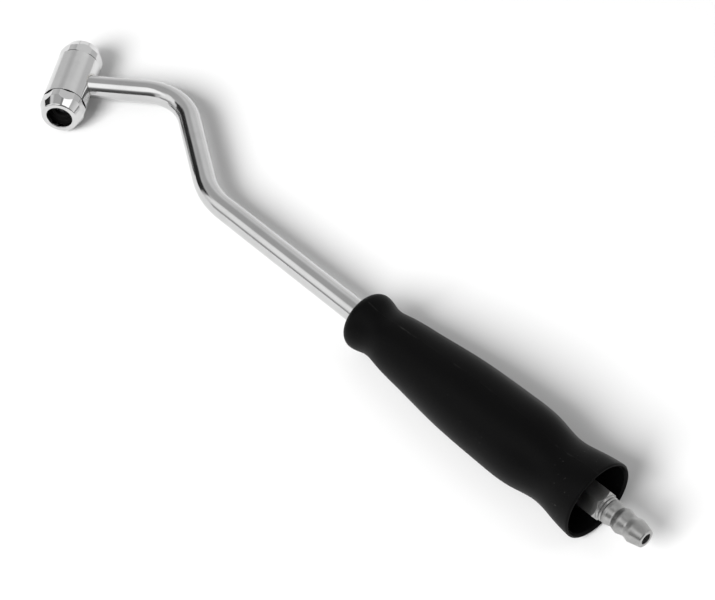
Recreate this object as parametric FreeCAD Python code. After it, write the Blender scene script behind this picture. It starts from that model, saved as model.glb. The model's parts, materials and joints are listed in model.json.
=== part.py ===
import FreeCAD, Part
import math
import os

# Twin-foot tyre inflating wand, in millimetres.
#
# Drawing frame: X runs along the grip towards the hose tail, the crank of the
# tube lies in the XY plane and Z points up. The origin is the corner where the
# tube's long straight run meets its cranked run. Everything is drawn there and
# laid down on a table at the end: +X stays towards the hose tail, +Z is up, and
# the origin becomes the middle of the underside of the whole wand.
#
# The head is drawn in its own frame: its axis is local X, J is its middle, the
# tube arm leaves it along local Y and local Z is up.

Vector = FreeCAD.Vector

# --- Tube ---------------------------------------------------------------
TUBE_R = 4.0
TUBE_BORE_R = 2.75
REAR_BEND_DEG = 30.0            # turn between the straight run and the crank
FRONT_BEND_DEG = 67.0           # turn back between the crank and the arm
CRANK_RUN = 50.7                # corner to corner
ARM_RUN = 40.3                  # front corner to the head's axis
REAR_BEND_R = 30.0
FRONT_BEND_R = 20.0
TUBE_END_X = 165.0
TUBE_SOCKET_GAP = 0.05

# --- Head ---------------------------------------------------------------
HEAD_R = 7.75
HEAD_HALF = 16.5                # middle of the head to each mouth
SEAM = 9.8                      # middle of the head to each cap's seam
CAP_SHOULDER = 12.7             # where each cap's cone starts
CAP_GAP = 0.15                  # seam left open between head and cap
LIP_R = 6.2
MOUTH_R = 4.5
LIP_DEPTH = 1.7
CAP_FLATS = 14.6                # across the six spanner flats
CAP_TURN_DEG = 20.0             # how far a flat leans from straight up
SPIGOT_R = 6.6
SPIGOT_END = 7.8
SPRING_SEAT = 3.5
CHAMBER_R = 4.8
AIRWAY_R = 3.0
SOCKET_DEPTH_AT = 5.0           # tube end, measured from the head's axis
BRAZE_R = 4.6
BRAZE_FROM = 6.0

# --- Valve parts, as distances from the middle of the head ---------------
DISC_BACK = 7.9
DISC_FACE = 9.1
DISC_R = 4.4
PIN_R = 1.1
PIN_TIP = 12.4
BUSH_BACK = 9.75
BUSH_FACE = 11.1
SEAL_FACE = 12.6
SEAL_R = 5.6
SEAL_SKIRT_R = 5.0
SPRING_R = 3.8
SPRING_WIRE_R = 0.25
SPRING_HALF_TURNS = 7

# --- Grip, as stations along X -------------------------------------------
GRIP_FRONT = 75.7
GRIP_MOUTH = 177.4
NOSE_ROUND = 3.0
MOUTH_INNER_R = 12.0
COLLAR = (GRIP_FRONT + NOSE_ROUND, 9.9)
FRONT_WAIST = (84.2, 8.8)
BULGE = (140.0, 13.1)
REAR_WAIST = (161.3, 11.27)
RIM = (GRIP_MOUTH - 0.6, 13.25)
SWELL = [(90.5, 9.42), (101.0, 10.62), (118.0, 12.3), BULGE, (151.5, 12.72)]
CORE_R = 6.8
CORE_FRONT = 80.4
CORE_REAR = 154.0
STOP_FRONT = 79.1
CAVITY_FLOOR_R = 9.0
WASHER_R = 8.8
CLIP_AT = 155.2
CLIP_THICK = 0.8
CLIP_R = 6.0
CLIP_GROOVE_R = 3.7

# --- Hose tail, as stations along X ---------------------------------------
TAIL_FLATS = 9.0
TAIL_HEX_FROM = 165.85
TAIL_HEX_TO = 180.3
TAIL_COLLAR_R = 4.45
TAIL_BORE_R = 1.8
TAIL_TIP = 196.4
TAIL_TIP_R = 2.95
SHANK_R = 3.0
SHANK_FROM = 158.0
NECKS = [(180.9, 3.85), (181.9, 3.85)]
NECK_RIDGE = (181.4, 4.15)
LAND_FROM = 182.3
LAND_TO = 183.3
LAND_R = 4.1
# each further barb: valley station and radius, then crest station and radius
BARBS = [((185.2, 3.45), (187.5, 4.15)), ((190.0, 3.4), (192.1, 4.0))]

X_AXIS = Vector(1, 0, 0)
ORIGIN = Vector(0, 0, 0)


def rounded_wire(corners):
    """Closed wire through (x, r, fillet) corners; each fillet is a tangent arc."""
    spots = [Vector(x, r, 0) for x, r, fillet in corners]
    entries, exits, arcs = [], [], []
    for i, (x, r, fillet) in enumerate(corners):
        here = spots[i]
        back = (spots[i - 1] - here).normalize()
        onward = (spots[(i + 1) % len(spots)] - here).normalize()
        half = back.getAngle(onward) / 2
        run = fillet / math.tan(half)
        entries.append(here + back * run)
        exits.append(here + onward * run)
        if fillet:
            middle = here + (back + onward).normalize() * (fillet / math.sin(half) - fillet)
            arcs.append(Part.Arc(entries[i], middle, exits[i]).toShape())
        else:
            arcs.append(None)
    edges = []
    for i, arc in enumerate(arcs):
        if arc:
            edges.append(arc)
        edges.append(Part.makeLine(exits[i], entries[(i + 1) % len(entries)]))
    return Part.Wire(edges)


def turned(corners):
    """Solid of revolution about X from (x, r) or (x, r, fillet) corners."""
    full = [corner if len(corner) == 3 else corner + (0,) for corner in corners]
    return Part.Face(rounded_wire(full)).revolve(ORIGIN, X_AXIS, 360)


def rod(start, end, radius):
    """Cylinder along X from one station to another."""
    return Part.makeCylinder(radius, end - start, Vector(start, 0, 0), X_AXIS)


def ring(start, end, outer, inner):
    return turned([(start, inner), (start, outer), (end, outer), (end, inner)])


def hex_bar(start, end, flats, lean_deg):
    """Hexagonal bar along X; one flat faces up, leaning towards Y by lean_deg."""
    corner_r = flats / 2 / math.cos(math.radians(30))
    points = []
    for i in range(7):
        angle = math.radians(60 * i + 30 + lean_deg)
        points.append(Vector(start, corner_r * math.sin(angle), corner_r * math.cos(angle)))
    return Part.Face(Part.makePolygon(points)).extrude(Vector(end - start, 0, 0))


# --- Where the tube's corners and the head are -----------------------------
def heading(angle_deg):
    """Unit direction in the XY plane, measured from +X towards +Y."""
    angle = math.radians(angle_deg)
    return Vector(math.cos(angle), math.sin(angle), 0)


ARM_DEG = FRONT_BEND_DEG - REAR_BEND_DEG
ARM = heading(ARM_DEG)                          # from the head back to the front corner
FRONT_CORNER = heading(180 - REAR_BEND_DEG) * CRANK_RUN
HEAD_MIDDLE = FRONT_CORNER - ARM * ARM_RUN
HEAD_AXIS = heading(ARM_DEG - 90)               # towards the rear foot's mouth


def on_head(side):
    """Placement of the head's own frame; side 1 is the rear foot, -1 the front foot."""
    turn = FreeCAD.Rotation(HEAD_AXIS * side, ARM * side, Vector(0, 0, 1), "XYZ")
    return FreeCAD.Placement(HEAD_MIDDLE, turn)


def placed(shape, placement):
    return shape.transformed(placement.toMatrix())


# --- Tube -------------------------------------------------------------------
def bend(before, corner, after, radius):
    """Tangent arc round a corner: its two ends and its edge."""
    back = (before - corner).normalize()
    onward = (after - corner).normalize()
    half = back.getAngle(onward) / 2
    start = corner + back * (radius / math.tan(half))
    end = corner + onward * (radius / math.tan(half))
    middle = corner + (back + onward).normalize() * (radius / math.sin(half) - radius)
    return start, Part.Arc(start, middle, end).toShape(), end


def tube_route():
    tail = Vector(TUBE_END_X, 0, 0)
    head = HEAD_MIDDLE + ARM * SOCKET_DEPTH_AT
    first, rear_arc, second = bend(tail, ORIGIN, FRONT_CORNER, REAR_BEND_R)
    third, front_arc, fourth = bend(ORIGIN, FRONT_CORNER, head, FRONT_BEND_R)
    return Part.Wire([Part.makeLine(tail, first), rear_arc, Part.makeLine(second, third),
                      front_arc, Part.makeLine(fourth, head)])


def bent_tube():
    route = tube_route()
    start = Vector(TUBE_END_X, 0, 0)
    walls = []
    for radius in (TUBE_R, TUBE_BORE_R):
        section = Part.Face(Part.Wire(Part.makeCircle(radius, start, X_AXIS)))
        walls.append(route.makePipe(section))
    tube = walls[0].cut(walls[1])
    tube = tube.cut(rod(SHANK_FROM - 0.1, TUBE_END_X + 1, SHANK_R + 0.02))
    return tube.cut(ring(CLIP_AT - 0.05, CLIP_AT + CLIP_THICK + 0.05, TUBE_R + 1, CLIP_GROOVE_R))


# --- Head -------------------------------------------------------------------
def across_head(start, end, radius):
    """Cylinder along the arm's direction, measured from the head's axis."""
    return Part.makeCylinder(radius, end - start, Vector(0, start, 0), Vector(0, 1, 0))


def head_body():
    body = turned([(-SEAM, 0), (-SEAM, HEAD_R, 0.15), (SEAM, HEAD_R, 0.15), (SEAM, 0)])
    body = body.cut(rod(-SEAM, SEAM, AIRWAY_R))
    for side in (1, -1):
        for start, radius in ((SPRING_SEAT, CHAMBER_R), (SPIGOT_END - 0.8, SPIGOT_R + 0.02)):
            low, high = sorted((side * start, side * (SEAM + 1)))
            body = body.cut(rod(low, high, radius))
    body = body.cut(across_head(0, SOCKET_DEPTH_AT + 0.5, TUBE_BORE_R - 0.25))
    body = body.cut(across_head(SOCKET_DEPTH_AT, HEAD_R + 1, TUBE_R + TUBE_SOCKET_GAP))
    return body.cut(across_head(BRAZE_FROM, HEAD_R + 1, BRAZE_R))


def braze_ring():
    """Filler between tube and socket, flush with the head's round surface."""
    collar = across_head(BRAZE_FROM, HEAD_R + 1, BRAZE_R)
    collar = collar.cut(across_head(0, HEAD_R + 2, TUBE_R + TUBE_SOCKET_GAP))
    return collar.common(rod(-SEAM, SEAM, HEAD_R - 0.05))


def nose_cap(lean_deg):
    """Screwed cap: threaded spigot, spanner flats, cone and rounded lip."""
    blank = turned([
        (SPIGOT_END, SEAL_R), (SPIGOT_END, SPIGOT_R),
        (SEAM + CAP_GAP, SPIGOT_R), (SEAM + CAP_GAP, HEAD_R, 0.1), (CAP_SHOULDER, HEAD_R, 0.3), (HEAD_HALF, LIP_R, 0.7),
        (HEAD_HALF, MOUTH_R, 0.4), (HEAD_HALF - LIP_DEPTH, MOUTH_R),
        (HEAD_HALF - LIP_DEPTH, SEAL_R),
    ])
    return blank.common(hex_bar(SPIGOT_END - 1, HEAD_HALF + 1, CAP_FLATS, lean_deg))


def valve_seal():
    """Rubber cup that grips and seals a tyre valve's end."""
    top = HEAD_HALF - LIP_DEPTH
    return turned([
        (BUSH_FACE, 2.6), (BUSH_FACE, SEAL_R), (top, SEAL_R), (top, SEAL_SKIRT_R),
        (SEAL_FACE, SEAL_SKIRT_R, 0.4), (SEAL_FACE, 3.6), (SEAL_FACE + 0.3, 3.3),
        (SEAL_FACE + 0.3, 2.9), (SEAL_FACE, 2.6),
    ])


def seat_bush():
    return turned([
        (BUSH_BACK, 2.2), (BUSH_BACK, SEAL_R - 0.02), (BUSH_FACE, SEAL_R - 0.02), (BUSH_FACE, 2.2),
    ])


def depressor():
    """Poppet disc with a pin towards the mouth and a pilot inside the spring."""
    return turned([
        (DISC_BACK - 1.2, 0), (DISC_BACK - 1.2, 2.9, 0.3), (DISC_BACK, 2.9), (DISC_BACK, DISC_R),
        (DISC_FACE, DISC_R, 0.2), (DISC_FACE, 3.6), (DISC_FACE - 0.4, 3.6), (DISC_FACE - 0.4, 2.6),
        (DISC_FACE, 2.6), (DISC_FACE, 1.7), (DISC_FACE + 0.8, PIN_R), (PIN_TIP, PIN_R, 0.4),
        (PIN_TIP, 0),
    ])


def o_ring(station, middle_r, thick_r):
    return Part.makeTorus(middle_r, thick_r, Vector(station, 0, 0), X_AXIS)


def return_spring():
    """Coil made of half turns, each a half ring tilted to climb its share of the length."""
    start = SPRING_SEAT + 2 * SPRING_WIRE_R
    climb = (DISC_BACK - SPRING_SEAT - 4 * SPRING_WIRE_R) / SPRING_HALF_TURNS
    turns = []
    for i in range(SPRING_HALF_TURNS):
        side = (-1) ** i
        spot = Vector(start + climb * i, 0, side * SPRING_R)
        section = Part.Face(Part.Wire(Part.makeCircle(SPRING_WIRE_R, spot, Vector(0, 1, 0))))
        tilted = Vector(2 * SPRING_R, 0, side * climb)
        turns.append(section.revolve(Vector(start + climb * (i + 0.5), 0, 0), tilted, 180))
    return turns[0].fuse(turns[1:])


def head_side(name, side):
    """All the pieces of one foot, named after it."""
    pieces = {
        "nose_cap": nose_cap(CAP_TURN_DEG * side),
        "valve_seal": valve_seal(),
        "seat_bush": seat_bush(),
        "depressor": depressor(),
        "poppet_o_ring": o_ring(DISC_FACE + 0.1, 3.1, 0.45),
        "cap_o_ring": o_ring(SPIGOT_END - 0.4, SPIGOT_R - 0.45, 0.35),
        "return_spring": return_spring(),
    }
    return {name + "_" + piece: placed(shape, on_head(side)) for piece, shape in pieces.items()}


# --- Grip -------------------------------------------------------------------
def grip_sleeve():
    """Moulded rubber grip: flared collar, waist, bulge, waist and hollow rear mouth."""
    swell = Part.BSplineCurve()
    stations = [COLLAR, FRONT_WAIST] + SWELL + [REAR_WAIST, (169.5, 12.33), RIM]
    swell.interpolate(Points=[Vector(x, r, 0) for x, r in stations],
                      InitialTangent=Vector(1, 0, 0), FinalTangent=Vector(1, 0.06, 0))
    hole_r = TUBE_R + 0.1
    pocket_r = CORE_R + 0.05
    nose_mid = math.sqrt(0.5) * NOSE_ROUND
    nose = Part.Arc(Vector(GRIP_FRONT, COLLAR[1] - NOSE_ROUND, 0),
                    Vector(COLLAR[0] - nose_mid, COLLAR[1] - NOSE_ROUND + nose_mid, 0),
                    Vector(*COLLAR, 0))
    rim_round = Part.Arc(Vector(*RIM, 0), Vector(GRIP_MOUTH - 0.15, RIM[1] - 0.2, 0),
                         Vector(GRIP_MOUTH, RIM[1] - 0.6, 0))
    inside = [Vector(GRIP_MOUTH, RIM[1] - 0.6, 0), Vector(GRIP_MOUTH, MOUTH_INNER_R + 0.3, 0),
              Vector(GRIP_MOUTH - 0.4, MOUTH_INNER_R, 0), Vector(CORE_REAR, CAVITY_FLOOR_R, 0),
              Vector(CORE_REAR, pocket_r, 0), Vector(STOP_FRONT - 0.1, pocket_r, 0),
              Vector(STOP_FRONT - 0.1, hole_r, 0), Vector(GRIP_FRONT, hole_r, 0),
              Vector(GRIP_FRONT, COLLAR[1] - NOSE_ROUND, 0)]
    edges = [nose.toShape(), swell.toShape(), rim_round.toShape()]
    edges += Part.makePolygon(inside).Edges
    return Part.Face(Part.Wire(edges)).revolve(ORIGIN, X_AXIS, 360)


def grip_core():
    """Rigid plastic sleeve between tube and rubber, ribbed so the rubber cannot slip."""
    core = ring(CORE_FRONT, CORE_REAR, CORE_R, TUBE_R + TUBE_SOCKET_GAP)
    groove_pitch = 8.0
    grooves = int((CORE_REAR - CORE_FRONT) / groove_pitch)
    for i in range(grooves):
        start = CORE_FRONT + groove_pitch * (i + 0.5)
        core = core.cut(ring(start, start + 2.0, CORE_R + 1, CORE_R - 0.6))
    return core


def core_clip():
    """Open retaining ring that snaps into the tube's groove behind the washer."""
    clip = ring(CLIP_AT, CLIP_AT + CLIP_THICK, CLIP_R, CLIP_GROOVE_R + 0.02)
    gap = 4.4
    opening = Part.makeBox(CLIP_THICK + 2, gap, CLIP_R + 2, Vector(CLIP_AT - 1, -gap / 2, 0))
    return clip.cut(opening)


# --- Hose tail ----------------------------------------------------------------
def hose_tail():
    """Hexagonal fitting with a threaded shank and three hose barbs, bored through."""
    across_corners = TAIL_FLATS / math.cos(math.radians(30))
    corner_r = across_corners / 2
    chamfer = corner_r - TAIL_COLLAR_R
    blank = turned([
        (TAIL_HEX_FROM, TAIL_BORE_R), (TAIL_HEX_FROM, corner_r - 0.5),
        (TAIL_HEX_FROM + 0.4, corner_r), (TAIL_HEX_TO - chamfer, corner_r),
        (TAIL_HEX_TO, TAIL_COLLAR_R), (TAIL_HEX_TO, TAIL_BORE_R),
    ])
    fitting = blank.common(hex_bar(TAIL_HEX_FROM, TAIL_HEX_TO, TAIL_FLATS, 0))
    corners = [(TAIL_HEX_TO, TAIL_BORE_R), (TAIL_HEX_TO, NECKS[0][1] + 0.3),
               NECKS[0] + (0.1,), NECK_RIDGE + (0.1,), NECKS[1] + (0.1,),
               (LAND_FROM, LAND_R, 0.2), (LAND_TO, LAND_R, 0.3)]
    for valley, crest in BARBS:
        corners += [valley + (1.2,), crest + (1.5,)]
    corners += [(TAIL_TIP, TAIL_TIP_R, 0.45), (TAIL_TIP, TAIL_BORE_R, 0.15)]
    shank = ring(SHANK_FROM, TAIL_HEX_FROM, SHANK_R, TAIL_BORE_R)
    return fitting.fuse([turned(corners), shank]).removeSplitter()


def wand():
    """Every piece in the drawing frame, by node name."""
    head_frame = on_head(1)
    pieces = {
        "head_body": placed(head_body(), head_frame),
        "braze_ring": placed(braze_ring(), head_frame),
        "bent_tube": bent_tube(),
        "grip_sleeve": grip_sleeve(),
        "grip_core": grip_core(),
        "core_stop_ring": ring(STOP_FRONT, STOP_FRONT + 1.2, 6.0, TUBE_R),
        "core_washer": ring(CORE_REAR + 0.1, CLIP_AT - 0.1, WASHER_R, TUBE_R + TUBE_SOCKET_GAP),
        "core_clip": core_clip(),
        "hose_tail": hose_tail(),
        "tail_gasket": ring(TUBE_END_X + 0.05, TAIL_HEX_FROM, 4.6, SHANK_R + 0.05),
    }
    pieces.update(head_side("rear", 1))
    pieces.update(head_side("front", -1))
    return pieces


def lay_down(pieces):
    """Placement that rests the head and the grip's bulge on the plane Z = 0."""
    reach = (Vector(BULGE[0], 0, 0) - HEAD_MIDDLE).dot(ARM)
    tilt = math.asin((BULGE[1] - HEAD_R) / reach)
    up = (ARM * math.sin(tilt) + Vector(0, 0, 1) * math.cos(tilt)).normalize()
    turn = FreeCAD.Rotation(up, Vector(0, 0, 1))
    turned_pieces = [placed(shape, FreeCAD.Placement(ORIGIN, turn)) for shape in pieces.values()]
    box = Part.Compound(turned_pieces).optimalBoundingBox(False, False)
    middle = box.Center
    return FreeCAD.Placement(Vector(-middle.x, -middle.y, -box.ZMin), turn)


def main():
    os.makedirs("parts", exist_ok=True)
    pieces = wand()
    rest = lay_down(pieces)
    for name, shape in pieces.items():
        solid = placed(shape, rest)
        solid.exportStep("parts/" + name + ".step")
        print(name, "valid", solid.isValid(), "solids", len(solid.Solids),
              "volume", round(solid.Volume, 2))
    for label, spot in (("head middle", HEAD_MIDDLE), ("tail land", Vector((LAND_FROM + LAND_TO) / 2, 0, 0)),
                        ("grip mouth", Vector(GRIP_MOUTH, 0, 0)), ("drawing origin", ORIGIN)):
        print(label, [round(value, 4) for value in rest.multVec(spot)])
    for label, line in (("head axis", HEAD_AXIS), ("arm", ARM), ("tail axis", X_AXIS),
                        ("drawing Y", Vector(0, 1, 0)), ("drawing Z", Vector(0, 0, 1))):
        print(label, [round(value, 6) for value in rest.Rotation.multVec(line)])


main()
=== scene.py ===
"""Looks of the tyre inflating wand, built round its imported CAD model.

Shapes are drawn in millimetres in the wand's drawing frame: X along the grip
towards the hose tail, Z square to the plane of the crank, origin at the corner
between the tube's straight run and its cranked run. in_row() takes them to the
row frame in metres. The drawing frame is found from the record's mounts.
"""

import json
import math

import bpy
import numpy as np
from mathutils import Matrix, Vector


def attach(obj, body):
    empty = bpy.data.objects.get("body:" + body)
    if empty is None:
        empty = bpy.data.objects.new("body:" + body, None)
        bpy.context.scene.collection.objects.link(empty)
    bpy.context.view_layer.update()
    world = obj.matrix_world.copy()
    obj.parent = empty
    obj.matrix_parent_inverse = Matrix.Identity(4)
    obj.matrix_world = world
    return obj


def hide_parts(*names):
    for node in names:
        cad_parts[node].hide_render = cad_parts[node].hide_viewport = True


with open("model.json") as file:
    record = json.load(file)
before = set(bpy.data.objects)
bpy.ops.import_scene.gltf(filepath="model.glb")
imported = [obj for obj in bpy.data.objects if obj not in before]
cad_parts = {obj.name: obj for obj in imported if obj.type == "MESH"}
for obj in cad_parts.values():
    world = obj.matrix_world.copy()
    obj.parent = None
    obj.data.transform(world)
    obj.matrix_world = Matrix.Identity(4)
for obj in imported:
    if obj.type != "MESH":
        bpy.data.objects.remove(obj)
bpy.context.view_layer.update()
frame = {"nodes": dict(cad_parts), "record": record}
NODES = frame["nodes"]

# --- The drawing frame ---------------------------------------------------------
MOUNTS = {m["name"]: m for m in frame["record"]["mounts"]}
LAND_STATION = 182.8            # where along the grip's axis the hose_tail mount lies
TAIL_AXIS = Vector(MOUNTS["hose_tail"]["axis"]).normalized()
HEAD_AXIS = Vector(MOUNTS["rear_valve_mouth"]["axis"]).normalized()
UP = HEAD_AXIS.cross(TAIL_AXIS).normalized()
SIDE = UP.cross(TAIL_AXIS)
ORIGIN = Vector(MOUNTS["hose_tail"]["pos_m"]) - TAIL_AXIS * LAND_STATION / 1000
HEAD_MIDDLE = (Vector(MOUNTS["rear_valve_mouth"]["pos_m"])
               + Vector(MOUNTS["front_valve_mouth"]["pos_m"])) / 2
BASIS = np.array([TAIL_AXIS, SIDE, UP])
SEAM_MIDDLE = 9.86              # middle of each cap's seam, from the middle of the head
SEAM_FADE = (0.09, 0.16)        # its painted shade fades out between these distances from that


def in_row(points):
    """Drawing frame in mm to row frame in metres."""
    return np.asarray(points, float) @ BASIS / 1000 + np.array(ORIGIN)


# --- Mesh helpers ----------------------------------------------------------------
SMOOTH_ANGLE = 38               # degrees; sharper edges stay sharp
ARC_STEPS = 6                   # segments in each rounded corner


def grid_mesh(name, rings):
    """Closed skin through rings of equal length, joined round and end to end."""
    rings = np.asarray(rings, float)
    rows, cols = rings.shape[:2]
    r, c = np.meshgrid(np.arange(rows), np.arange(cols), indexing="ij")
    nr, nc = (r + 1) % rows, (c + 1) % cols
    faces = np.stack([r * cols + c, r * cols + nc, nr * cols + nc, nr * cols + c], -1)
    mesh = bpy.data.meshes.new(name)
    mesh.from_pydata(in_row(rings.reshape(-1, 3)).tolist(), [], faces.reshape(-1, 4).tolist())
    layer = mesh.uv_layers.new(name="Along")
    around = np.stack([c, c + 1, c + 1, c], -1).reshape(-1) / cols
    along = np.stack([r, r, r + 1, r + 1], -1).reshape(-1) / rows
    layer.data.foreach_set("uv", np.stack([around, along], -1).reshape(-1).astype(np.float32))
    mesh.validate()
    obj = bpy.data.objects.new(name, mesh)
    bpy.context.scene.collection.objects.link(obj)
    mesh.shade_smooth()
    mesh.set_sharp_from_angle(angle=math.radians(SMOOTH_ANGLE))
    weighted = obj.modifiers.new("Even faces", "WEIGHTED_NORMAL")
    weighted.keep_sharp = True
    return obj


def fillet(corners):
    """Polyline through (x, r) or (x, r, fillet) corners of a closed outline, with round corners."""
    spots = [Vector(corner[:2]) for corner in corners]
    line = []
    for i, corner in enumerate(corners):
        here, radius = spots[i], corner[2] if len(corner) > 2 else 0
        if not radius:
            line.append(tuple(here))
            continue
        back = (spots[i - 1] - here).normalized()
        onward = (spots[(i + 1) % len(spots)] - here).normalized()
        half = back.angle(onward) / 2
        run = radius / math.tan(half)
        centre = here + (back + onward).normalized() * radius / math.sin(half)
        first, last = here + back * run - centre, here + onward * run - centre
        for k in range(ARC_STEPS + 1):
            line.append(tuple(centre + first.normalized().slerp(last.normalized(), k / ARC_STEPS) * radius))
    return line


def clamped_spline(stations, first_slope, last_slope):
    """Smooth radius through (x, r) stations as a function of x."""
    x, y = np.array(stations, float).T
    h, rise = np.diff(x), np.diff(y)
    slope = rise / h
    n = len(x)
    a, b = np.zeros((n, n)), np.zeros(n)
    a[0, :2], b[0] = (2 * h[0], h[0]), 6 * (slope[0] - first_slope)
    a[-1, -2:], b[-1] = (h[-1], 2 * h[-1]), 6 * (last_slope - slope[-1])
    for i in range(1, n - 1):
        a[i, i - 1:i + 2] = h[i - 1], 2 * (h[i - 1] + h[i]), h[i]
        b[i] = 6 * (slope[i] - slope[i - 1])
    m = np.linalg.solve(a, b)

    def value(at):
        i = np.clip(np.searchsorted(x, at) - 1, 0, n - 2)
        d = at - x[i]
        return (y[i] + d * (slope[i] - h[i] * (2 * m[i] + m[i + 1]) / 6)
                + d * d * m[i] / 2 + d ** 3 * (m[i + 1] - m[i]) / (6 * h[i]))
    return value


# --- Material helpers --------------------------------------------------------------
def add_node(tree, kind, inputs=(), **settings):
    """New shader node; each input is a value or a socket to link from."""
    node = tree.nodes.new("ShaderNode" + kind)
    for key, value in settings.items():
        setattr(node, key, value)
    for key, value in dict(inputs).items():
        if isinstance(value, bpy.types.NodeSocket):
            tree.links.new(value, node.inputs[key])
        else:
            node.inputs[key].default_value = value
    return node


# Colour sockets of a Mix node, which go by number because their names repeat
MIX_BELOW, MIX_ABOVE, MIX_RESULT = 6, 7, 2


class Look:
    """A node material round one Principled shader."""

    def __init__(self, name, color, metallic, roughness, **sockets):
        self.mat = bpy.data.materials.new(name)
        self.mat.use_nodes = True
        self.mat.diffuse_color = (*color, 1)
        self.tree = self.mat.node_tree
        self.shader = self.tree.nodes["Principled BSDF"]
        self.shader.inputs["Base Color"].default_value = (*color, 1)
        self.shader.inputs["Metallic"].default_value = metallic
        self.shader.inputs["Roughness"].default_value = roughness
        for socket, value in sockets.items():
            self.shader.inputs[socket.replace("_", " ")].default_value = value

    def add(self, kind, inputs=(), **settings):
        return add_node(self.tree, kind, inputs, **settings)

    def math(self, operation, *values):
        return self.add("Math", dict(enumerate(values)), operation=operation).outputs[0]

    def distances(self, start, *axes):
        """How far the shaded point lies from a start, along each axis."""
        where = self.add("NewGeometry").outputs["Position"]
        here = self.add("VectorMath", {0: where, 1: start}, operation="SUBTRACT").outputs[0]
        return [self.add("VectorMath", {0: here, 1: axis}, operation="DOT_PRODUCT").outputs["Value"]
                for axis in axes]

    def place(self, stretch=(1, 1, 1)):
        """Position in the drawing frame, in millimetres, with each axis stretched."""
        axes = [axis * 1000 / k for axis, k in zip((TAIL_AXIS, SIDE, UP), stretch)]
        return self.add("CombineXYZ", dict(enumerate(self.distances(ORIGIN, *axes)))).outputs[0]

    def noise(self, where, scale, detail=3.0, rough=0.55):
        node = self.add("TexNoise", {"Vector": where, "Scale": scale, "Detail": detail, "Roughness": rough})
        return node.outputs["Fac"]

    def spread(self, value, low, high, out_low, out_high):
        node = self.add("MapRange", {0: value, 1: low, 2: high, 3: out_low, 4: out_high})
        return node.outputs[0]

    def blend(self, amount, below, above):
        """A flat colour laid over a colour or a colour socket by a mask."""
        if not isinstance(below, bpy.types.NodeSocket):
            below = (*below, 1)
        colors = {MIX_BELOW: below, MIX_ABOVE: (*above, 1), "Factor": amount}
        return self.add("Mix", colors, data_type="RGBA").outputs[MIX_RESULT]

    def bump(self, height, depth_mm):
        return self.add("Bump", {"Height": height, "Distance": depth_mm / 1000, "Strength": 1.0}).outputs[0]

    def wire(self, **sockets):
        for socket, value in sockets.items():
            self.tree.links.new(value, self.shader.inputs[socket.replace("_", " ")])
        return self.mat


# Painted shade: the dark tone laid into the seams between the head and its caps, where the gap lies in
# shade
SEAM_SHADE = (0.03, 0.03, 0.03)
DUST = (0.045, 0.045, 0.044)
PARTING_FADE = (0.08, 0.26)     # mm to either side of the grip's parting line


def seam_shade_mask(look):
    """Mask for the painted shade in the two seams between head and caps."""
    along, = look.distances(HEAD_MIDDLE, HEAD_AXIS * 1000)
    off = look.math("SUBTRACT", look.math("ABSOLUTE", along), SEAM_MIDDLE)
    return look.spread(look.math("ABSOLUTE", off), *SEAM_FADE, 1, 0)


def chrome(name, tone, soft, stretch, streak=0.0015, seams=True):
    """Bright plate: faint smudges, drawn streaks, hairline scratches and, on the head, painted shade in the
    seams.
    """
    look = Look(name, (tone, tone, tone * 1.01), 1.0, soft)
    smudge = look.noise(look.place(), 0.12, 4)
    lines = look.noise(look.place(stretch), 6.0, 2)
    scratch = look.spread(look.noise(look.place(stretch), 2.2, 6, 0.7), 0.66, 0.72, 0, 1)
    rough = look.math("ADD", look.spread(smudge, 0.35, 0.7, soft * 0.7, soft * 1.5),
                      look.spread(scratch, 0, 1, 0, 0.1))
    normal = look.bump(lines, streak)
    color = look.blend(look.spread(smudge, 0.3, 0.75, 0, 1), (tone * 1.03,) * 3, (tone * 0.94,) * 3)
    # Painted shade: the seams between head and caps are darkened in the colour
    if seams:
        color = look.blend(seam_shade_mask(look), color, SEAM_SHADE)
    return look.wire(Base_Color=color, Roughness=rough, Normal=normal)


def mottled(look, mask, color, dark, light, soft, low, high):
    """Sockets for a tone and a roughness that both follow a noise mask."""
    shade = look.spread(mask, 0.3, 0.7, 0, 1)
    tint = look.blend(shade, [c * light for c in color], [c * dark for c in color])
    return {"Base_Color": tint, "Roughness": look.spread(mask, 0.3, 0.7, soft * low, soft * high)}


def satin(name, color, soft, ring_pitch, groove_mm):
    """Turned and plated metal: fine rings round the hose tail's axis."""
    look = Look(name, color, 1.0, soft)
    rings = look.noise(look.place((ring_pitch, 40, 40)), 1.0, 2)
    wide = look.noise(look.place(), 0.35, 3)
    return look.wire(**mottled(look, wide, color, 0.86, 1.08, soft, 0.8, 1.25),
                     Normal=look.bump(rings, groove_mm))


def rubber(name, color, soft, grain_mm, parting=False):
    """Moulded rubber: micro grain, dust specks, rubbed patches and, if asked, a mould's parting line."""
    look = Look(name, color, 0.0, soft, Specular_IOR_Level=0.07)
    grain = look.noise(look.place(), 3.2, 5, 0.65)
    rubbed = look.noise(look.place((3, 1, 1)), 0.09, 3)
    dust = look.spread(look.noise(look.place(), 1.3, 1, 0.4), 0.735, 0.775, 0, 1)
    patches = look.spread(look.noise(look.place(), 0.05, 2), 0.52, 0.62, 0, 1)
    specks = look.math("MULTIPLY", dust, patches)
    if parting:
        split = look.add("SeparateXYZ", {0: look.place()})
        line = look.spread(look.math("ABSOLUTE", split.outputs[1]), *PARTING_FADE, 1, 0)
        broken = look.spread(look.noise(look.place((5, 1, 1)), 0.35, 4, 0.7), 0.54, 0.66, 0, 0.3)
        specks = look.math("MAXIMUM", specks, look.math("MULTIPLY", line, broken))
    base = look.blend(specks, color, DUST)
    rough = look.math("ADD", look.spread(rubbed, 0.35, 0.65, soft * 0.9, soft * 1.12),
                      look.spread(specks, 0, 1, 0, 0.15))
    return look.wire(Base_Color=base, Roughness=rough, Normal=look.bump(grain, grain_mm))


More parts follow.
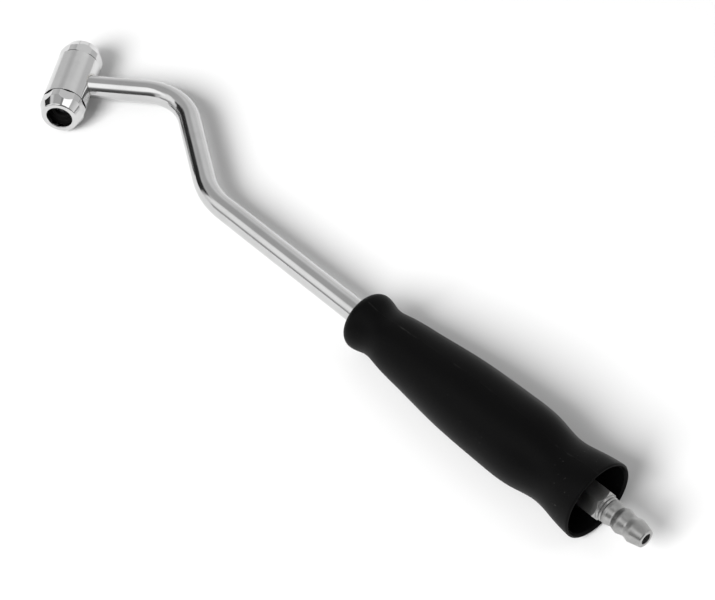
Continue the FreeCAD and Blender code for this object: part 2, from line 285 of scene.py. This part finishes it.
def plain(name, color, metallic, soft, scale, depth_mm):
    """Small hidden hardware: mottled tone, roughness and a little relief."""
    look = Look(name, color, metallic, soft)
    mottle = look.noise(look.place(), scale, 4)
    return look.wire(**mottled(look, mottle, color, 0.82, 1.12, soft, 0.8, 1.2),
                     Normal=look.bump(mottle, depth_mm))


MATERIALS = {
    "chrome_head": chrome("chrome_head", 0.68, 0.10, (1, 1, 6)),
    "chrome_cap": chrome("chrome_cap", 0.66, 0.06, (1, 1, 1), 0.0008),
    "chrome_tube": chrome("chrome_tube", 0.61, 0.11, (30, 30, 1), seams=False),
    "silver_braze": plain("silver_braze", (0.58, 0.57, 0.55), 1.0, 0.22, 0.9, 0.01),
    "black_rubber": rubber("black_rubber", (0.0011, 0.0011, 0.00115), 0.45, 0.02, True),
    "core_plastic": plain("core_plastic", (0.008, 0.008, 0.009), 0.0, 0.5, 1.5, 0.01),
    "plated_steel": plain("plated_steel", (0.42, 0.42, 0.42), 1.0, 0.35, 1.2, 0.005),
    "spring_steel": plain("spring_steel", (0.30, 0.30, 0.31), 1.0, 0.3, 2.0, 0.004),
    "satin_nickel": satin("satin_nickel", (0.41, 0.41, 0.405), 0.37, 0.12, 0.00015),
    "fibre_gasket": plain("fibre_gasket", (0.30, 0.12, 0.08), 0.0, 0.7, 2.5, 0.02),
    "seal_rubber": rubber("seal_rubber", (0.004, 0.004, 0.004), 0.42, 0.006),
}


def dress_cad():
    """Every carried-over CAD node gets the look of its record slot."""
    for part in frame["record"]["subparts"]:
        node = NODES[part["node"]]
        for slot in node.material_slots:
            slot.material = MATERIALS[part["material_slot"]]


def finish_piece(obj, slot, body, *nodes):
    obj.data.materials.append(MATERIALS[slot])
    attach(obj, body)
    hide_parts(*nodes)


# --- Grip -----------------------------------------------------------------------------
GRIP_FRONT = 75.7
GRIP_MOUTH = 177.4
MOUTH_R = 12.2                  # inside the rim
MOUTH_FLOOR = (154.0, 9.0)      # (x, r) where the deep mouth ends
CORE_R = 6.85                   # outside of the rigid core that fills the grip
CORE_FRONT = 79.0
TUBE_HOLE_R = 4.1
NOSE_ROUND = 3.0
RIM_ROUND = 0.6
SINK = 0.004                    # keeps the skin inside the CAD grip
PARTING_RIDGE = 0.05            # greatest height of the mould's parting line
PARTING_WIDTH = 0.55            # degrees
GRIP_STATIONS = [(78.7, 9.9), (84.2, 8.8), (90.5, 9.42), (101.0, 10.62), (118.0, 12.3), (140.0, 13.1),
                 (151.5, 12.72), (161.3, 11.27), (169.5, 12.33), (176.8, 13.25)]


def grip():
    """Rubber sleeve with a rounded collar, a thin rim, a deep mouth and a mould's parting line."""
    radius = clamped_spline(GRIP_STATIONS, 0.0, 0.06)
    (collar_x, collar_r), (rim_x, rim_r) = GRIP_STATIONS[0], GRIP_STATIONS[-1]
    quarter = np.linspace(0, math.pi / 2, 11)
    nose = [(collar_x - NOSE_ROUND * math.cos(a), collar_r - NOSE_ROUND * (1 - math.sin(a)))
            for a in quarter[:-1]]
    body = [(x, float(radius(x)) - SINK) for x in np.linspace(collar_x, rim_x, 150)]
    rim = [(rim_x + RIM_ROUND * math.sin(a), rim_r - RIM_ROUND * (1 - math.cos(a))) for a in quarter[2::2]]
    inside = fillet([(GRIP_MOUTH, MOUTH_R, 0.15), (GRIP_MOUTH - 0.4, MOUTH_R - 0.2, 0.2),
                     (*MOUTH_FLOOR, 1.2), (MOUTH_FLOOR[0], CORE_R),
                     (CORE_FRONT, CORE_R), (CORE_FRONT, TUBE_HOLE_R), (GRIP_FRONT, TUBE_HOLE_R, 0.3)])
    outline = nose + body + rim + inside
    seams = [90 + d for d in (-2.2, -1.3, -0.8, -0.4, 0, 0.4, 0.8, 1.3, 2.2)]
    seams += [a + 180 for a in seams]
    turns = np.radians(sorted(set(list(np.arange(0, 360, 2.5)) + seams)))
    off_seam = np.abs((np.degrees(turns) % 180) - 90)
    ridge = np.exp(-(off_seam / PARTING_WIDTH) ** 2)
    rings = []
    for x, r in outline:
        height = 0.0
        if (x, r) in body:
            height = PARTING_RIDGE * (0.55 + 0.45 * math.sin(x * 0.9) * math.sin(x * 0.37 + 1))
        reach = r + height * ridge
        rings.append(np.stack([np.full_like(turns, x), reach * np.cos(turns), reach * np.sin(turns)], -1))
    finish_piece(grid_mesh("grip", rings), "black_rubber", "wand", "grip_sleeve")


# --- Tube -------------------------------------------------------------------------------
TUBE_R = 4.0
CRANK_RUN = 50.7
ARM_RUN = 40.3
REAR_BEND = (30.0, 30.0)        # degrees and radius
FRONT_BEND = (67.0, 20.0)
TUBE_END = 165.0
CLIP_GROOVE = (155.15, 156.05)  # along the tube, for the clip that holds the grip's core
GROOVE_R = 3.7
GROOVE_EDGE = 0.01              # its walls lean over twice this length
RUN_START = 154.0               # the evenly spaced stations begin here
BORE_R = 2.75
SOCKET_R = 3.02                 # bore at the tube's end, for the hose tail's shank
SOCKET_FROM = 157.9
BEND_DIP = 0.012                # flattening and ripple height in the bends
BEND_OVAL = 0.006


def heading(degrees):
    return np.array([math.cos(math.radians(degrees)), math.sin(math.radians(degrees)), 0.0])


def tube_path():
    """Stations along the tube's middle: (point, direction, how far into a bend from 0 to 1)."""
    arm = heading(FRONT_BEND[0] - REAR_BEND[0])
    corner = heading(180 - REAR_BEND[0]) * CRANK_RUN
    head = corner - arm * (ARM_RUN - 5.0)
    path = []

    def straight(start, end, step):
        way = (end - start) / np.linalg.norm(end - start)
        for t in np.linspace(0, 1, max(2, int(np.linalg.norm(end - start) / step)))[:-1]:
            path.append((start + (end - start) * t, way, 0.0))

    def turn(start, way, degrees, radius, left):
        inward = np.array([-way[1], way[0], 0.0]) * (1 if left else -1)
        centre = start + inward * radius
        steps = int(degrees / 1.5)
        for k in range(steps):
            a = math.radians(degrees) * k / steps
            point = centre - inward * radius * math.cos(a) + way * radius * math.sin(a)
            ahead = way * math.cos(a) + inward * math.sin(a)
            path.append((point, ahead, math.sin(math.pi * k / steps)))

    rear_run = REAR_BEND[1] * math.tan(math.radians(REAR_BEND[0] / 2))
    front_run = FRONT_BEND[1] * math.tan(math.radians(FRONT_BEND[0] / 2))
    back = heading(180)
    crank = heading(180 - REAR_BEND[0])
    low, high = CLIP_GROOVE
    for x in (TUBE_END, high + GROOVE_EDGE, high - GROOVE_EDGE, low + GROOVE_EDGE, low - GROOVE_EDGE):
        path.append((np.array([x, 0, 0]), back, 0.0))
    straight(np.array([RUN_START, 0, 0]), np.array([rear_run, 0, 0]), 3.0)
    turn(np.array([rear_run, 0, 0]), back, REAR_BEND[0], REAR_BEND[1], False)
    straight(crank * rear_run, crank * (CRANK_RUN - front_run), 3.0)
    turn(crank * (CRANK_RUN - front_run), crank, FRONT_BEND[0], FRONT_BEND[1], True)
    straight(corner - arm * front_run, head, 3.0)
    path.append((head, -arm, 0.0))
    return path


def tube():
    """Bent tube with the slight flattening and ripples that a bending die leaves."""
    turns = np.linspace(0, 2 * math.pi, 73)[:-1]
    outer, inner = [], []
    for k, (point, ahead, bent) in enumerate(tube_path()):
        aside = np.array([-ahead[1], ahead[0], 0.0])
        # The ripples are on the side that is the inside of the front bend
        ripple = BEND_DIP * bent * np.clip(np.cos(turns), 0, 1) * math.sin(k * 1.3)
        reach = TUBE_R * (1 - BEND_OVAL * bent * (1 + np.cos(2 * turns))) - BEND_DIP * bent + ripple
        if CLIP_GROOVE[0] < point[0] < CLIP_GROOVE[1]:
            reach = np.full_like(turns, GROOVE_R)
        bore = SOCKET_R if point[0] > SOCKET_FROM else BORE_R
        for rings, radius in ((outer, reach), (inner, np.full_like(turns, bore))):
            rings.append(point + np.outer(radius * np.cos(turns), aside)
                         + np.outer(radius * np.sin(turns), (0, 0, 1)))
    finish_piece(grid_mesh("tube", outer + inner[::-1]), "chrome_tube", "wand", "bent_tube")


# --- Floor, light and camera ------------------------------------------------------------
FLOOR_REACH = 6.0
FLOOR_TONE = 0.615


def floor():
    mesh = bpy.data.meshes.new("floor")
    corners = [(x * FLOOR_REACH, y * FLOOR_REACH, 0) for x, y in ((-1, -1), (1, -1), (1, 1), (-1, 1))]
    mesh.from_pydata(corners, [], [(0, 1, 2, 3)])
    sheet = bpy.data.objects.new("floor", mesh)
    bpy.context.scene.collection.objects.link(sheet)
    look = Look("floor", (FLOOR_TONE,) * 3, 0.0, 0.75, Specular_IOR_Level=0.15)
    mesh.materials.append(look.mat)


# The light tent's walls darken from the first elevation to the second, in degrees
WALL_RISE = (-4.0, 52.0)
WALL_LEVELS = (0.98, 0.5)

# Panels laid over the walls as (azimuth, half width, elevation, half height, brightness, edge);
# all but the brightness in degrees
TENT = [
    (-35, 60, 45, 45, 0.22, 22),      # the open side
    (112, 30, 36, 14, 0.80, 24),      # pale sheet behind the wand
    (80, 15, 12, 14, 0.62, 12),       # edge of the sheet
    (168, 12, 14, 16, 0.68, 12),      # fold beside the sheet
    (-130, 20, 33, 16, 1.15, 14),     # lower strip of the softbox
    (-95, 32, 55, 19, 1.40, 16),      # upper strip of the softbox
    (33, 16, 60, 20, 1.60, 4),        # small reflector over the grip
    (-118, 16, 4, 9, 0.42, 6),        # lower rim of the softbox
    (-70, 24, 8, 15, 0.10, 14),       # gap under the softbox
    (-165, 17, 6, 27, 0.03, 8),       # gap beside the softbox
]


def tent():
    """World light: pale walls that darken upwards, with panels over them; the camera sees plain white."""
    world = bpy.data.worlds.new("tent")
    world.use_nodes = True
    bpy.context.scene.world = world
    tree = world.node_tree
    sky = tree.nodes["Background"]
    toward = add_node(tree, "SeparateXYZ", {0: add_node(tree, "TexCoord").outputs["Generated"]})

    def math_of(operation, *values):
        return add_node(tree, "Math", dict(enumerate(values)), operation=operation).outputs[0]

    def smooth(value, low, high, out_low=0.0, out_high=1.0):
        return add_node(tree, "MapRange", {0: value, 1: low, 2: high, 3: out_low, 4: out_high},
                        interpolation_type="SMOOTHSTEP").outputs[0]

    def over(below, above, mask):
        return math_of("ADD", math_of("MULTIPLY", below, math_of("SUBTRACT", 1.0, mask)),
                       math_of("MULTIPLY", mask, above))

    east, north, up = toward.outputs
    azimuth = math_of("MULTIPLY", math_of("ARCTAN2", north, east), 180 / math.pi)
    elevation = math_of("MULTIPLY", math_of("ARCSINE", up), 180 / math.pi)
    level = smooth(elevation, *WALL_RISE, *WALL_LEVELS)
    for middle, wide, height, tall, bright, edge in TENT:
        turn = math_of("WRAP", math_of("SUBTRACT", azimuth, middle), 180.0, -180.0)
        across = smooth(math_of("ABSOLUTE", turn), wide + edge / 2, wide - edge / 2)
        upward = smooth(math_of("ABSOLUTE", math_of("SUBTRACT", elevation, height)),
                        tall + edge / 2, tall - edge / 2)
        level = over(level, bright, math_of("MULTIPLY", across, upward))
    camera_sees = add_node(tree, "LightPath").outputs["Is Camera Ray"]
    tree.links.new(over(level, 1.0, camera_sees), sky.inputs["Strength"])
    sky.inputs["Color"].default_value = (1, 1, 1, 1)


def softbox(name, azimuth, elevation, distance, width, height, power):
    """Area light that faces the wand and is not seen in its reflections; angles in degrees."""
    light = bpy.data.lights.new(name, "AREA")
    light.shape = "RECTANGLE"
    light.size, light.size_y, light.energy = width, height, power
    obj = bpy.data.objects.new(name, light)
    bpy.context.scene.collection.objects.link(obj)
    a, e = math.radians(azimuth), math.radians(elevation)
    away = Vector((math.cos(a) * math.cos(e), math.sin(a) * math.cos(e), math.sin(e)))
    obj.location = away * distance
    obj.rotation_euler = away.to_track_quat("Z", "Y").to_euler()
    obj.visible_glossy = False


# The camera in the drawing frame, in mm, and its lens on a 36 mm wide sensor
CAMERA_SPOT = (447.92, -296.25, 545.76)
CAMERA_AHEAD = (-0.51957, 0.411474, -0.748823)
CAMERA_TOP = (-0.525553, 0.537099, 0.659787)
LENS = 115.84


def camera():
    """Seen from the rear left, from well above, with the wand lying corner to corner."""
    lens = bpy.data.cameras.new("camera")
    lens.sensor_width = 36.0
    lens.lens = LENS
    lens.clip_start, lens.clip_end = 0.01, 50.0
    obj = bpy.data.objects.new("camera", lens)
    bpy.context.scene.collection.objects.link(obj)
    to_row = Matrix(BASIS.T.tolist())
    ahead = to_row @ Vector(CAMERA_AHEAD).normalized()
    top = to_row @ Vector(CAMERA_TOP)
    right = ahead.cross(top).normalized()
    top = right.cross(ahead)
    turn = Matrix((right, top, -ahead)).transposed().to_4x4()
    spot = Vector(in_row([CAMERA_SPOT])[0])
    obj.matrix_world = Matrix.Translation(spot) @ turn
    bpy.context.scene.camera = obj


dress_cad()
grip()
tube()
floor()
tent()
softbox("key", azimuth=-78, elevation=38, distance=3.0, width=1.5, height=1.4, power=178.0)
camera()
bpy.context.scene.view_settings.view_transform = "Standard"

bpy.context.view_layer.update()
